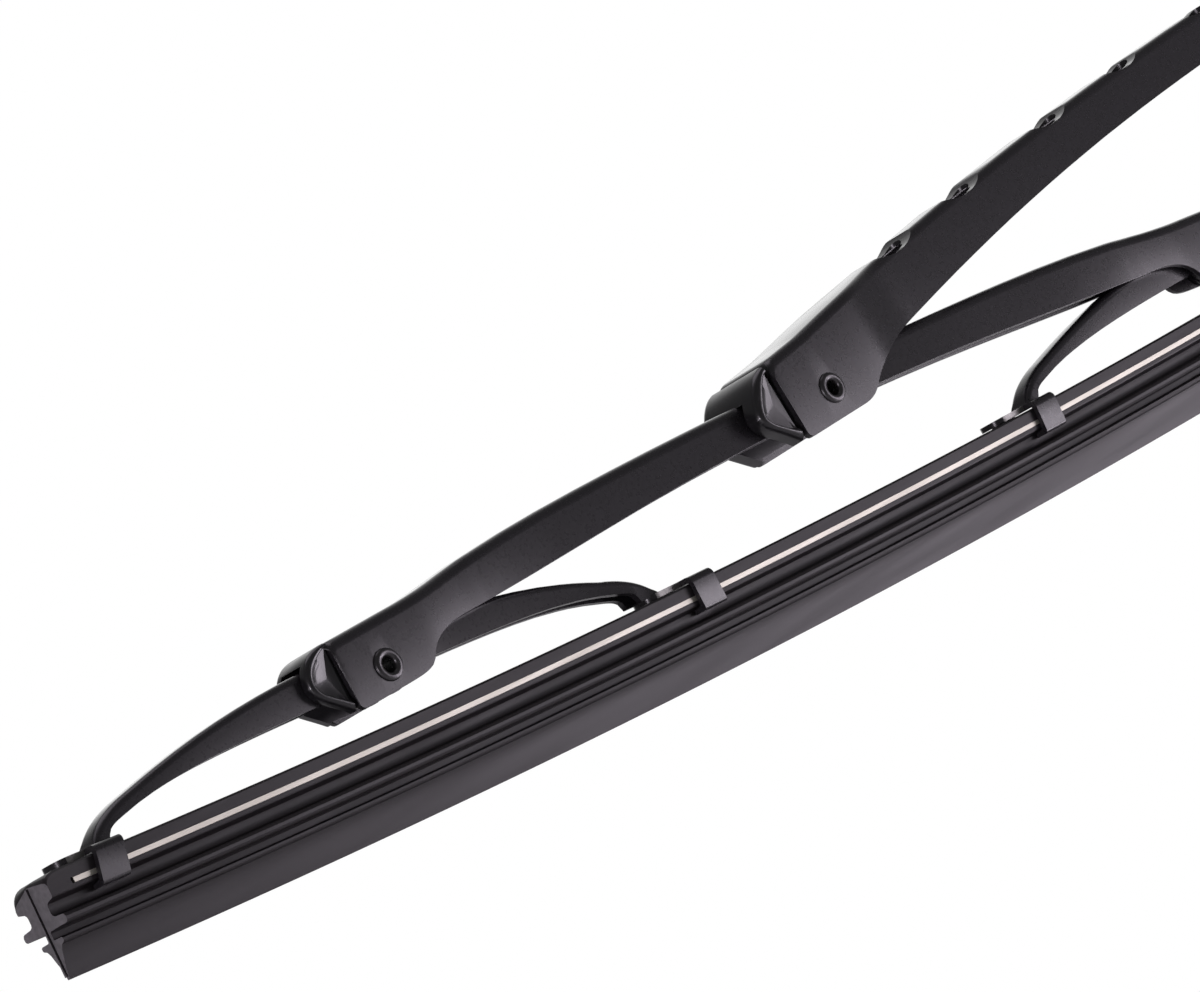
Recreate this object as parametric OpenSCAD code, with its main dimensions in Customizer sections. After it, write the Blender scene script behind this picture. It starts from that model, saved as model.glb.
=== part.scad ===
// Wiper blade: a pressed steel linkage of one bridge, two yokes and four claw yokes
// carries a rubber squeegee that two spring strips stiffen.
// X runs along the blade, Y across it, Z away from the glass.
// The origin is the middle of the pin that the wiper arm hooks on to.

/* [Blade] */
// Length of the squeegee along its arc
blade_len = 700; // [690:1:760]
// Radius of the bow that the free squeegee takes, ends away from the glass
bow_radius = 2655; // [2000:5:6000]
// Arc distance from mid blade to the inner claw yoke pivots, and a third of that to the outer ones
pivot_pitch = 94.8; // [94:0.1:96]
// Arc distance from a claw yoke's pivot to each of its claws
claw_reach = 56; // [55:0.1:57]
// Height of the claw yoke pivots over the wiping edge
claw_pivot_h = 20; // [19.8:0.1:20.6]
// Height of the bridge end pivots over the wiping edge
bridge_pivot_h = 28.4; // [28.2:0.1:29]
// Height of the arm pin over the wiping edge at mid blade
arm_pin_h = 50.2; // [49.8:0.1:50.6]

/* [Squeegee] */
// Height of the rubber from the wiping edge to its back
rubber_h = 12.9; // [12.7:0.05:13]
// Width of the rubber head that the claws hold
head_w = 8; // [7.8:0.05:8.1]
// Width over the two wings under the head
wing_w = 9.7; // [9.2:0.1:9.8]
// Height of the claw groove's floor over the wiping edge
groove_h = 7.6; // [7.4:0.1:7.7]
// Height of the head's underside over the wiping edge
head_floor_h = 9.5; // [9.4:0.05:9.6]
// Thickness of the neck web that lets the lip flip over
neck_t = 1.2; // [0.9:0.1:1.4]
// Width over the two shoulders of the lip
shoulder_w = 4.8; // [4:0.1:5.2]
// Thickness of the lip at its wiping edge
edge_t = 0.5; // [0.4:0.05:0.7]

/* [Spring strips] */
// Thickness of a strip
strip_t = 0.65; // [0.55:0.05:0.8]
// Width of a strip
strip_w = 2.35; // [2:0.05:2.4]
// Height of a strip's middle over the wiping edge
strip_h = 10.77; // [10.7:0.01:10.85]
// Solid rubber left past each end of a strip
strip_stop = 2.6; // [2:0.1:4]

/* [Claw yokes] */
// Sheet thickness of a claw yoke
claw_sheet = 0.8; // [0.7:0.05:0.9]
// Width over a claw yoke's walls
claw_yoke_w = 4.1; // [3.9:0.05:4.2]
// Length of a claw along the blade
claw_len = 6.1; // [5.6:0.1:6.4]
// Play between a claw and the rubber head, each side
claw_play = 0.15; // [0.1:0.01:0.18]
// Width of the foot, the tongue that lies along the rubber's back
foot_w = 5; // [4.6:0.1:6]
// Length of the foot from the claw's middle
foot_reach = 9.2; // [8:0.1:9.5]

/* [Yokes] */
// Sheet thickness of a yoke
yoke_sheet = 0.9; // [0.85:0.05:0.95]
// Width over a yoke's walls between its hubs
yoke_w = 6.2; // [6.1:0.1:6.4]
// Width over a yoke's hub walls
yoke_hub_w = 7.4; // [7.3:0.05:7.6]

/* [Bridge] */
// Sheet thickness of the bridge
bridge_sheet = 1.1; // [1:0.05:1.2]
// Width over the bridge walls between hubs
bridge_w = 9; // [8.6:0.1:9.4]
// Width over the bridge hub walls
bridge_hub_w = 12; // [11.8:0.1:12.4]
// Width over the bridge walls at mid blade, where the arm enters
bridge_mid_w = 13; // [12.8:0.1:13.4]
// Length of a wind slot in the bridge's back
wind_slot_len = 11; // [9:0.5:12]
// Number of wind slots each side of mid blade
wind_slots = 5; // [3:1:5]

/* [Rivets] */
// Diameter of a rivet's shank
rivet_d = 3.2; // [3:0.05:3.3]
// Diameter of the hole through a rivet
rivet_hole_d = 2.2; // [2:0.1:2.3]
// Diameter of a rivet's rolled flange
flange_d = 4.6; // [4.4:0.1:5]
// How far a flange stands off the wall
flange_t = 0.5; // [0.4:0.05:0.6]
// Radial play of a yoke on its rivet
pivot_play = 0.06; // [0.04:0.01:0.08]

/* [Arm mount] */
// Diameter of the arm pin
arm_pin_d = 5; // [4.8:0.1:5.2]
// Diameter of the hole through the arm pin
arm_pin_hole_d = 3.2; // [3:0.1:3.4]
// Length of the hook adapter
adapter_len = 26; // [24:1:28]
// Width of the arm hook that the adapter takes
hook_w = 8; // [7.8:0.1:8.2]
// Thickness of the arm hook that the adapter takes
hook_t = 3; // [2.8:0.1:3.2]

/* [Hidden] */

steel = [0.17, 0.17, 0.18];
plastic = [0.08, 0.08, 0.09];
rubber = [0.13, 0.12, 0.12];
spring = [0.86, 0.84, 0.8];
zinc = [0.3, 0.3, 0.32];

// One degree of arc along the bow, per millimetre
arc_deg = 180 / (PI * bow_radius);
// Arc places of the pivots, counted from mid blade
inner_s = pivot_pitch;
bridge_end_s = 2 * pivot_pitch;
outer_s = 3 * pivot_pitch;
// Web left in the corner of a hub's fold, beside its mouth
fold_r = 0.15;
// Small gap between touching pieces of one assembly
seat_gap = 0.02;
// Gap between a bushing and the yoke that swings in it
swing_gap = 0.12;
arm_hole_r = arm_pin_d / 2 + 0.03;

// A point at arc place s and height h over the wiping edge, seen from a pivot at height h0
function arc_pt(s, h, h0) = [
    (bow_radius - h) * sin(s * arc_deg),
    bow_radius - h0 - (bow_radius - h) * cos(s * arc_deg)];

// Points of a cubic curve, its last point left out so that curves can be joined end to end
function curve(a, b, c, d, n = 8) = [for (i = [0 : n - 1])
    let (t = i / n, u = 1 - t)
    u * u * u * a + 3 * u * u * t * b + 3 * u * t * t * c + t * t * t * d];

// Points of a rounded corner, from angle a0 to a1 about c
function corner(c, r, a0, a1, n = 4) = [for (i = [0 : n])
    let (a = a0 + (a1 - a0) * i / n)
    c + r * [cos(a), sin(a)]];

// A smooth step from 0 to 1 as x goes from a to b
function step(x, a, b) = let (t = max(0, min(1, (x - a) / (b - a)))) t * t * (3 - 2 * t);

function flip(pts) = [for (i = [len(pts) - 1 : -1 : 0]) [-pts[i][0], pts[i][1]]];

// Turns a point about the origin, then shifts it
function moved(p, a, to) = [p[0] * cos(a) - p[1] * sin(a) + to[0], p[0] * sin(a) + p[1] * cos(a) + to[1]];

// Stands an outline drawn in X and Z up as a slab across Y
module slab(w) {
    rotate([90, 0, 0])
        linear_extrude(w, center = true)
            children();
}

// Puts a part drawn about a pivot at its place on the bow
module at_pivot(s, h) {
    p = arc_pt(s, h, arm_pin_h);
    translate([p[0], 0, p[1]])
        rotate([0, -s * arc_deg, 0])
            children();
}

// Sweeps a section, given as height over the wiping edge and Y, along the bow
module bowed(half_len) {
    translate([0, 0, bow_radius - arm_pin_h])
        rotate([90, 0, 0])
            rotate([0, 0, -90 - half_len * arc_deg])
                rotate_extrude(angle = 2 * half_len * arc_deg, $fn = 1800)
                    children();
}

module cross_hole(d, w) {
    rotate([90, 0, 0])
        cylinder(h = w, d = d, center = true, $fn = 48);
}

// Squeegee: head with chamfered back, claw groove, wings, neck and wiping lip
squeegee_half = [
    [rubber_h, 0], [rubber_h, head_w * 0.3], [rubber_h - 0.7, head_w / 2],
    [head_floor_h + 0.35, head_w / 2], [head_floor_h, head_w * 0.34],
    [head_floor_h - 0.5, head_w * 0.29], [groove_h + 0.5, head_w * 0.29],
    [groove_h, head_w * 0.36], [groove_h - 0.15, wing_w / 2 - 0.4], [groove_h - 0.6, wing_w / 2],
    [groove_h - 1.2, wing_w / 2 - 0.15], [groove_h - 1.35, neck_t / 2 + 0.15],
    [groove_h - 1.6, neck_t / 2], [5.25, neck_t / 2], [5.05, neck_t / 2 + 0.2],
    [5.05, shoulder_w / 2 - 0.15], [4.9, shoulder_w / 2], [4.6, shoulder_w / 2],
    [4.3, shoulder_w * 0.36], [2.8, shoulder_w * 0.21], [1.4, edge_t / 2 + 0.18], [0, edge_t / 2]];

module squeegee() {
    right = [for (p = squeegee_half) [bow_radius - p[0], p[1]]];
    left = [for (i = [len(squeegee_half) - 1 : -1 : 1])
        [bow_radius - squeegee_half[i][0], -squeegee_half[i][1]]];
    color(rubber)
        difference() {
            bowed(blade_len / 2)
                polygon(concat(right, left));
            for (side = [-1, 1])
                bowed(blade_len / 2 - strip_stop)
                    strip_section(side, strip_w + 0.6, strip_t + 0.1);
        }
}

module strip_section(side, w, t) {
    outer = head_w / 2 + w - strip_w;
    translate([bow_radius - strip_h, side * (outer - w / 2 - (w > strip_w ? 0.05 : 0))])
        square([t, w], center = true);
}

module spring_strip(side) {
    color(spring)
        bowed(blade_len / 2 - strip_stop - 0.3)
            strip_section(side, strip_w, strip_t);
}

// Claw yoke, drawn about its pivot
claw_top_z = 4.1;
claw_arch_bottom_z = -1.2;
claw_skin_h = rubber_h + claw_play;
claw_end = arc_pt(claw_reach, claw_skin_h, claw_pivot_h);

module claw_yoke() {
    color(steel)
        difference() {
            union() {
                difference() {
                    slab(claw_yoke_w)
                        polygon(claw_outline());
                    slab(claw_yoke_w - 2 * claw_sheet)
                        intersection() {
                            translate([0, -claw_sheet])
                                polygon(claw_outline());
                            square([2 * claw_reach - 12, 30], center = true);
                        }
                }
                for (side = [-1, 1])
                    translate([0, side * (claw_yoke_w - claw_sheet) / 2, 0])
                        rotate([90, 0, 0])
                            cylinder(h = claw_sheet, r = 3.4, center = true, $fn = 48);
                for (side = [-1, 1])
                    claw(side * claw_reach);
            }
            cross_hole(rivet_d + 2 * pivot_play, 20);
        }
}

// One half of a claw yoke's side outline: the arm comes down on the foot of its claw
// tip and heel are the ends of the arm's base, counted outwards from the claw's middle
function arch_half(tip, heel) =
    let (x = claw_end[0], z = claw_end[1])
    concat(
        curve([0, claw_top_z], [22, claw_top_z], [x - 22, z + 8.2], [x - 8.6 + tip, z + 5.3], 10),
        curve([x - 8.6 + tip, z + 5.3], [x - 4.2 + tip, z + 4.4], [x - 0.8 + tip, z + 2.6],
            [x + tip, z + 0.4], 6),
        [[x + tip, z + 0.4]],
        curve([x + heel, z + 0.4], [x + heel, z + 1.9], [x + heel - 1.4, z + 2.2],
            [x + heel - 3.6, z + 2.7], 5),
        curve([x + heel - 3.6, z + 2.7], [x + heel - 14, z + 5.4], [20, claw_arch_bottom_z],
            [0, claw_arch_bottom_z], 9));

// The feet of both claws point the same way, so one arm comes down behind its claw and one over it
function claw_outline() = concat(
    arch_half(1.3, -8.6), [[0, claw_arch_bottom_z]], flip(arch_half(-1.1, -3.9)));

// A claw wraps the rubber's head, and its foot lies along the rubber's back
module claw(s) {
    p = arc_pt(s, 0, claw_pivot_h);
    toe_r = 2;
    toe = [-foot_reach + toe_r, foot_w / 2 - toe_r];
    translate([p[0], 0, p[1]])
        rotate([0, -s * arc_deg, 0]) {
            translate([-claw_len / 2, 0, 0])
                rotate([90, 0, 90])
                    linear_extrude(claw_len)
                        claw_section();
            translate([0, 0, claw_skin_h])
                linear_extrude(claw_sheet)
                    polygon(concat(corner(toe, toe_r, 90, 180), corner([toe[0], -toe[1]], toe_r, 180, 270),
                        [[0, -foot_w / 2], [0, foot_w / 2]]));
        }
}

// The claw's sheet in Y and height, its tips turned in under the rubber head
module claw_section() {
    inner = head_w / 2 + claw_play;
    outer = inner + claw_sheet;
    top = claw_skin_h + claw_sheet;
    tip_h = head_floor_h - claw_play - 0.7;
    half = concat(
        corner([outer - 1.1, top - 1.1], 1.1, 90, 0),
        [[outer, tip_h + 0.5], [outer - 0.5, tip_h], [head_w * 0.29 + 0.35, tip_h],
            [head_w * 0.29 + 0.35, head_floor_h - claw_play - 0.1], [inner, head_floor_h + 0.1]],
        corner([inner - 0.4, claw_skin_h - 0.4], 0.4, 0, 90, 3));
    polygon(concat(half, flip(half)));
}

// Yoke, drawn about the bridge pivot, with a hub about each claw yoke pivot
hub_at = arc_pt(pivot_pitch, claw_pivot_h, bridge_pivot_h);
hub_turn = pivot_pitch * arc_deg;
hub_reach = 7.45;
yoke_top_z = 3.95;

// Right half of the yoke's side outline, the hub's points given about the hub pivot
function yoke_half() =
    let (h = function (p) moved(p, hub_turn, hub_at))
    concat(
        curve([0, yoke_top_z], [40, yoke_top_z], [64, 3.2], h([-16, 8.45]), 8),
        curve(h([-16, 8.45]), h([-12, 7.7]), h([-8, 7.2]), h([-4, 6.95]), 4),
        [h([hub_reach - 1, 6.1])],
        corner(h([hub_reach - 1, 5.1]), 1, 90 + hub_turn, hub_turn),
        corner(h([hub_reach - 1, -2.95]), 1, hub_turn, -90 + hub_turn),
        curve(h([-2.6, -3.95]), h([-5.4, -3.95]), h([-7.2, -3.2]), h([-7.9, -1.7]), 5),
        curve(h([-7.9, -1.7]), h([-8.9, 0.2]), h([-11.5, 2]), h([-17.5, 2.2]), 6),
        curve(h([-17.5, 2.2]), h([-38, 3.6]), [34, -2], [0, -2], 8));

function yoke_outline() = concat(yoke_half(), [[0, -2]], flip(yoke_half()));

// Half width of the yoke at x, wider about its hubs
function yoke_half_w(x) = yoke_w / 2
    + (yoke_hub_w - yoke_w) / 2 * step(abs(x), hub_at[0] - 19, hub_at[0] - 9);

// Plan outline of a channel from its half width
module yoke_plan(t) {
    xs = [for (i = [0 : 8]) hub_at[0] - 19 + i * 1.25];
    edge = concat([for (x = xs) [x, yoke_half_w(x) - t]], [[hub_at[0] + 20, yoke_hub_w / 2 - t]]);
    half = concat(flip(edge), edge);
    polygon(concat(half, [for (i = [len(half) - 1 : -1 : 0]) [half[i][0], -half[i][1]]]));
}

module yoke() {
    color(steel)
        difference() {
            union() {
                difference() {
                    intersection() {
                        slab(20)
                            polygon(yoke_outline());
                        linear_extrude(60, center = true)
                            yoke_plan(0);
                    }
                    intersection() {
                        slab(20)
                            translate([0, -yoke_sheet])
                                polygon(yoke_outline());
                        linear_extrude(60, center = true)
                            yoke_plan(yoke_sheet);
                    }
                    yoke_hub_mouths();
                }
                for (side = [-1, 1])
                    translate([0, side * (yoke_w - yoke_sheet) / 2, 0])
                        rotate([90, 0, 0])
                            cylinder(h = yoke_sheet, r = yoke_top_z - 0.25, center = true, $fn = 48);
            }
            cross_hole(rivet_d + 2 * pivot_play, 20);
            for (side = [-1, 1])
                translate([side * hub_at[0], 0, hub_at[1]])
                    cross_hole(rivet_d + 2 * seat_gap, 20);
        }
}

// Opens each hub's outer end between the walls, up to the back
module yoke_hub_mouths() {
    gap = yoke_hub_w - 2 * yoke_sheet - 2 * fold_r;
    for (side = [-1, 1])
        translate([side * hub_at[0], 0, hub_at[1]])
            rotate([0, -side * hub_turn, 0])
                translate([side * (hub_reach + 3), 0, -1.2])
                    cube([10, gap, 12.6], center = true);
}

// Bridge, drawn in the blade's frame
bridge_end = arc_pt(bridge_end_s, bridge_pivot_h, arm_pin_h);
bridge_reach = 8.8;
bridge_top_h = 56.2;
bridge_bottom_h = 49.3;
bridge_top_z = bridge_top_h - arm_pin_h;
bridge_bottom_z = bridge_bottom_h - arm_pin_h;

// Right half of the bridge's side outline, the hub's points given about the hub pivot
function bridge_half() =
    let (h = function (p) p + bridge_end)
    concat(
        curve([0, bridge_top_z], [70, bridge_top_z], h([-56, 17.7]), h([0, 8.9]), 16),
        [h([bridge_reach - 2.6, 8.3])],
        corner(h([bridge_reach - 2, 6.25]), 2, 75, 0),
        corner(h([bridge_reach - 1, -3.4]), 1, 0, -90),
        curve(h([-4.6, -4.4]), h([-7, -4.3]), h([-8, -3.5]), h([-9.3, -2.4]), 5),
        curve(h([-9.3, -2.4]), h([-11.5, -0.6]), h([-14, 1.6]), h([-21, 2.9]), 6),
        curve(h([-21, 2.9]), h([-60, 10.5]), [90, bridge_bottom_z], [28, bridge_bottom_z], 10),
        curve([28, bridge_bottom_z], [18, bridge_bottom_z], [14, -5.4], [5, -5.4], 6));

function bridge_outline() = concat(bridge_half(), [[5, -5.4]], flip(bridge_half()), [[-5, -5.4]]);

function bridge_half_w(x) = bridge_w / 2
    + (bridge_hub_w - bridge_w) / 2 * step(x, bridge_end[0] - 24, bridge_end[0] - 11)
    + (bridge_mid_w - bridge_w) / 2 * (1 - step(x, 24, 44));

module bridge_plan(t) {
    near = [for (i = [0 : 8]) 24 + i * 2.5];
    far = [for (i = [0 : 8]) bridge_end[0] - 24 + i * 13 / 8];
    xs = concat(near, far, [bridge_end[0] + 20]);
    edge = [for (x = xs) [x, bridge_half_w(x) - t]];
    half = concat(flip(edge), edge);
    polygon(concat(half, [for (i = [len(half) - 1 : -1 : 0]) [half[i][0], -half[i][1]]]));
}

// Height of the bridge's back at x, near enough to place the wind slots
function back_z(x) = bridge_top_z - x * x / 2700;
first_slot_x = 159.5;
slot_pitch = 22.7;
function slot_x(i) = first_slot_x - i * slot_pitch;

module main_bridge() {
    color(steel)
        difference() {
            intersection() {
                slab(30)
                    polygon(bridge_outline());
                linear_extrude(120, center = true)
                    bridge_plan(0);
            }
            intersection() {
                slab(30)
                    translate([0, -bridge_sheet])
                        polygon(bridge_outline());
                linear_extrude(120, center = true)
                    bridge_plan(bridge_sheet);
            }
            for (side = [-1, 1]) {
                bridge_hub_mouth(side);
                for (i = [0 : wind_slots - 1])
                    wind_slot(side * slot_x(i));
            }
            arm_window();
            cross_hole(arm_pin_d + 2 * seat_gap, 30);
        }
}

module bridge_hub_mouth(side) {
    gap = bridge_hub_w - 2 * bridge_sheet - 2 * fold_r;
    translate([side * (bridge_end[0] + bridge_reach + 3), 0, bridge_end[1] - 1])
        cube([10, gap, 15.6], center = true);
    translate([side * bridge_end[0], 0, bridge_end[1]])
        cross_hole(rivet_d + 2 * seat_gap, 30);
}

// A wind slot: a rounded window in the back that dips into the tops of both walls
module wind_slot(x) {
    r = bridge_w / 2 - bridge_sheet;
    z = back_z(abs(x));
    translate([x, 0, z])
        linear_extrude(12, center = true)
            for (side = [-1, 1]) {
                translate([side * (wind_slot_len / 2 - r), 0])
                    circle(r = r, $fn = 48);
                square([wind_slot_len - 2 * r, 2 * r], center = true);
            }
    translate([x, 0, z + 8.7])
        rotate([0, atan(x / 1350), 0])
            cross_hole(19, 20);
}

// Window in the back for the arm's hook
module arm_window() {
    w = bridge_mid_w - 2 * bridge_sheet - 1.4;
    linear_extrude(20)
        for (side = [-1, 1]) {
            translate([side * 15, 0])
                circle(d = w, $fn = 48);
            square([30, w], center = true);
        }
}

// Bushings, drawn about the pivot with the nose towards +X
// The nose closes the hub's open end and wraps the swinging yoke's back and sides
module bushing(nose, body_r, hub_w, sheet, inner_w, roof_z, seat_z) {
    wall = hub_w / 2 - sheet - seat_gap;
    slot_w = inner_w + 2 * swing_gap;
    front = max([for (p = nose) p[0]]);
    back = min([for (p = nose) p[0]]);
    color(plastic)
        difference() {
            union() {
                slab(hub_w)
                    polygon(nose);
                slab(2 * wall)
                    polygon(concat([[back + 0.3, seat_z], [-body_r, seat_z], [-body_r, 0]],
                        corner([0, 0], body_r, 180, 270, 8), [[back + 0.3, -body_r]]));
            }
            translate([(front - body_r) / 2, 0, roof_z - 10])
                cube([front + body_r + 20, slot_w, 20], center = true);
            for (side = [-1, 1])
                translate([0, side * hub_w / 2, 0])
                    slab(1.2)
                        nose_recess(nose);
            cross_hole(rivet_d + 2 * seat_gap, 30);
        }
}

// The shallow half-moon sunk in each side of the nose
module nose_recess(nose) {
    front = max([for (p = nose) p[0]]);
    back = min([for (p = nose) p[0]]);
    mid = [back + 0.9, 1.2];
    intersection() {
        polygon([for (p = nose) mid + 0.68 * (p - mid)]);
        translate([back + 0.9, -10])
            square([front - back, 20]);
    }
}

yoke_nose = concat(
    [[hub_reach + 0.15, 6]],
    curve([9.4, 5.8], [11.2, 5.5], [12.3, 4], [12.35, 1.8], 6),
    curve([12.35, 1.8], [12.35, -0.6], [10.6, -1.6], [8.6, -2.9], 6),
    [[8.6, -2.9], [hub_reach + 0.15, -3.8]]);

bridge_nose = concat(
    [[bridge_reach + 0.2, 7.9]],
    curve([10, 7.6], [12, 7], [14.6, 3.6], [14.7, 1], 7),
    curve([14.7, 1], [14.7, -1.2], [11.6, -2], [10, -3], 6),
    [[10, -3], [bridge_reach + 0.2, -4.1]]);

module yoke_bushing() {
    bushing(yoke_nose, 3.6, yoke_hub_w, yoke_sheet, claw_yoke_w, claw_top_z + 0.75, claw_top_z + 1);
}

module bridge_bushing() {
    bushing(bridge_nose, 4.1, bridge_hub_w, bridge_sheet, yoke_w, yoke_top_z + 1.6, yoke_top_z + 2.6);
}

// Hollow rivet with a flange rolled over each wall
module rivet(w) {
    half_w = w / 2 + 0.01;
    color(zinc)
        rotate([90, 0, 0])
            rotate_extrude($fn = 48)
                polygon([
                    [rivet_hole_d / 2, -half_w], [rivet_hole_d / 2 + 0.35, -half_w - flange_t],
                    [flange_d / 2 - 0.3, -half_w - flange_t], [flange_d / 2, -half_w - flange_t / 2],
                    [flange_d / 2, -half_w], [rivet_d / 2, -half_w],
                    [rivet_d / 2, half_w], [flange_d / 2, half_w],
                    [flange_d / 2, half_w + flange_t / 2], [flange_d / 2 - 0.3, half_w + flange_t],
                    [rivet_hole_d / 2 + 0.35, half_w + flange_t], [rivet_hole_d / 2, half_w]]);
}

module arm_pin() {
    half_w = bridge_mid_w / 2 + 0.01;
    color(zinc)
        rotate([90, 0, 0])
            rotate_extrude($fn = 64)
                polygon([
                    [arm_pin_hole_d / 2, -half_w - 0.6], [arm_pin_d / 2 + 0.8, -half_w - 0.6],
                    [arm_pin_d / 2 + 0.8, -half_w], [arm_pin_d / 2, -half_w],
                    [arm_pin_d / 2, half_w], [arm_pin_d / 2 + 0.8, half_w],
                    [arm_pin_d / 2 + 0.8, half_w + 0.6], [arm_pin_hole_d / 2, half_w + 0.6]]);
}

// Adapter that clips over the arm pin and takes the arm's hook
module hook_adapter() {
    w = bridge_mid_w - 2 * bridge_sheet - 1.8;
    outline = concat(
        corner([adapter_len / 2 - 4, 0.5], 4, 90, -60, 8),
        corner([0, -0.2], 4.6, -50, -130, 6),
        corner([-adapter_len / 2 + 4, 0.5], 4, 240, 90, 8));
    color(plastic)
        difference() {
            slab(w)
                polygon(outline);
            cross_hole(2 * arm_hole_r, 30);
            translate([adapter_len / 4 + 2, 0, 0.9])
                cube([adapter_len / 2, hook_w, hook_t], center = true);
            translate([-adapter_len / 4 - 2.6, 0, 0.6])
                slab(w - 1.8)
                    square([adapter_len / 2 - 6.4, 3.4], center = true);
        }
}

// Mirrors a part drawn for the right half when it belongs to the left
module handed(left) {
    if (left)
        mirror([1, 0, 0])
            children();
    else
        children();
}

// side is -1 for the left half and 1 for the right
module place_claw_yoke(side, s) {
    at_pivot(side * s, claw_pivot_h)
        handed(side > 0)
            claw_yoke();
}

module place_yoke(side) {
    at_pivot(side * bridge_end_s, bridge_pivot_h)
        yoke();
}

// The hub noses of a yoke point away from the bridge's end
module place_yoke_bushing(side, s) {
    at_pivot(side * s, claw_pivot_h)
        handed((s > bridge_end_s) != (side > 0))
            yoke_bushing();
}

module place_bridge_bushing(side) {
    translate([side * bridge_end[0], 0, bridge_end[1]])
        handed(side < 0)
            bridge_bushing();
}

module place_bridge_rivet(side) {
    translate([side * bridge_end[0], 0, bridge_end[1]])
        rivet(bridge_hub_w);
}

module place_yoke_rivet(side, s) {
    at_pivot(side * s, claw_pivot_h)
        rivet(yoke_hub_w);
}

main_bridge();
place_yoke(-1);  // yoke_left
place_yoke(1);  // yoke_right
place_claw_yoke(-1, outer_s);  // claw_yoke_outer_left
place_claw_yoke(-1, inner_s);  // claw_yoke_inner_left
place_claw_yoke(1, inner_s);  // claw_yoke_inner_right
place_claw_yoke(1, outer_s);  // claw_yoke_outer_right
place_bridge_bushing(-1);  // bridge_bushing_left
place_bridge_bushing(1);  // bridge_bushing_right
place_yoke_bushing(-1, outer_s);  // yoke_bushing_outer_left
place_yoke_bushing(-1, inner_s);  // yoke_bushing_inner_left
place_yoke_bushing(1, inner_s);  // yoke_bushing_inner_right
place_yoke_bushing(1, outer_s);  // yoke_bushing_outer_right
place_bridge_rivet(-1);  // bridge_rivet_left
place_bridge_rivet(1);  // bridge_rivet_right
place_yoke_rivet(-1, outer_s);  // yoke_rivet_outer_left
place_yoke_rivet(-1, inner_s);  // yoke_rivet_inner_left
place_yoke_rivet(1, inner_s);  // yoke_rivet_inner_right
place_yoke_rivet(1, outer_s);  // yoke_rivet_outer_right
arm_pin();
hook_adapter();
squeegee();
spring_strip(-1);  // spring_strip_near
spring_strip(1);  // spring_strip_far
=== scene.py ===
"""Looks of the wiper blade: folded steel frame, moulded bushings, rivets and the rubber squeegee."""

import math

import bmesh
import bpy
import numpy as np
from mathutils import Matrix, Vector


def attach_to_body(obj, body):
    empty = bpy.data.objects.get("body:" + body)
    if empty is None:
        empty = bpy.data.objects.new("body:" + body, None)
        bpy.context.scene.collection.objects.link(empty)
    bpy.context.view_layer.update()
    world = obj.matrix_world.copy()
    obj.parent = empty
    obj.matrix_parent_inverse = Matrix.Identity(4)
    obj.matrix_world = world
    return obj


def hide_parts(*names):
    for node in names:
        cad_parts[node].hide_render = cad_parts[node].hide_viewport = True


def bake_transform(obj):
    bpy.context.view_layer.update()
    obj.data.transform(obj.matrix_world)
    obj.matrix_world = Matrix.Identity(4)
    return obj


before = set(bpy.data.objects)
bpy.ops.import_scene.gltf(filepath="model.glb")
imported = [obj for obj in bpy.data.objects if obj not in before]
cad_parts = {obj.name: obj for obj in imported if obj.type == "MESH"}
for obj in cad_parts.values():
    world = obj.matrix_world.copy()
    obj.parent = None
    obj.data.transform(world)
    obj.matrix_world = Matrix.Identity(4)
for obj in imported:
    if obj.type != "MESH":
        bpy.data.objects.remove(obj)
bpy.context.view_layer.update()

MM = 0.001
HALF_PI = math.pi / 2

# Driving dimensions of the blade, in millimetres. The bridge's hubs and slots are as the photograph
# shows them; the rest is as its solids have it.
BLADE_LEN = 700
BOW_RADIUS = 2655
PIVOT_PITCH = 94.8
CLAW_REACH = 56
CLAW_PIVOT_H = 20
BRIDGE_PIVOT_H = 28.4
ARM_PIN_H = 50.2
RUBBER_H = 12.9
HEAD_W = 8
HEAD_SIDE_H = 9.95
STRIP_T = 0.65
STRIP_W = 2.35
STRIP_H = 10.77
STRIP_STOP = 3.7
CLAW_SHEET = 0.8
CLAW_YOKE_W = 4.1
CLAW_PLAY = 0.15
FOOT_W = 5
YOKE_SHEET = 0.9
YOKE_W = 6.2
YOKE_HUB_W = 7.4
BRIDGE_SHEET = 1.1
BRIDGE_W = 9
BRIDGE_HUB_W = 12.4
BRIDGE_MID_W = 13
WIND_SLOT_LEN = 8
WIND_SLOT_W = 3.8
WIND_SLOT_X = (156.5, 137.5, 112.5, 91.5, 68.7)
RIVET_D = 3.2
RIVET_HOLE_D = 2.2
FLANGE_D = 4.6
FLANGE_T = 0.5
ARM_PIN_D = 5

# How far the back of a bar narrows on each side, and the rounding of sheared edges
BRIDGE_DRAFT = 0.7
YOKE_DRAFT = 0.6
CLAW_DRAFT = (0.1, 0.28)
SHEET_EDGE = 0.12
CLAW_EDGE = 0.1

# Play that lets one piece sit in or turn on another
BORE_PLAY = 0.1
CHEEK_PLAY = 0.05
STRIP_PLAY = 0.05

ARC = 1 / BOW_RADIUS
INNER_S = PIVOT_PITCH
BRIDGE_END_S = 2 * PIVOT_PITCH
OUTER_S = 3 * PIVOT_PITCH

# Fitted view of the photograph: direction and roll in degrees, target and distance in millimetres
CAM_AZIMUTH = -43.8453
CAM_ELEVATION = 0.5183
CAM_ROLL = -31.2047
CAM_TARGET = (-230.015, 0, -10.99)
CAM_DISTANCE = 788.28
CAM_LENS = 173.93


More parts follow.
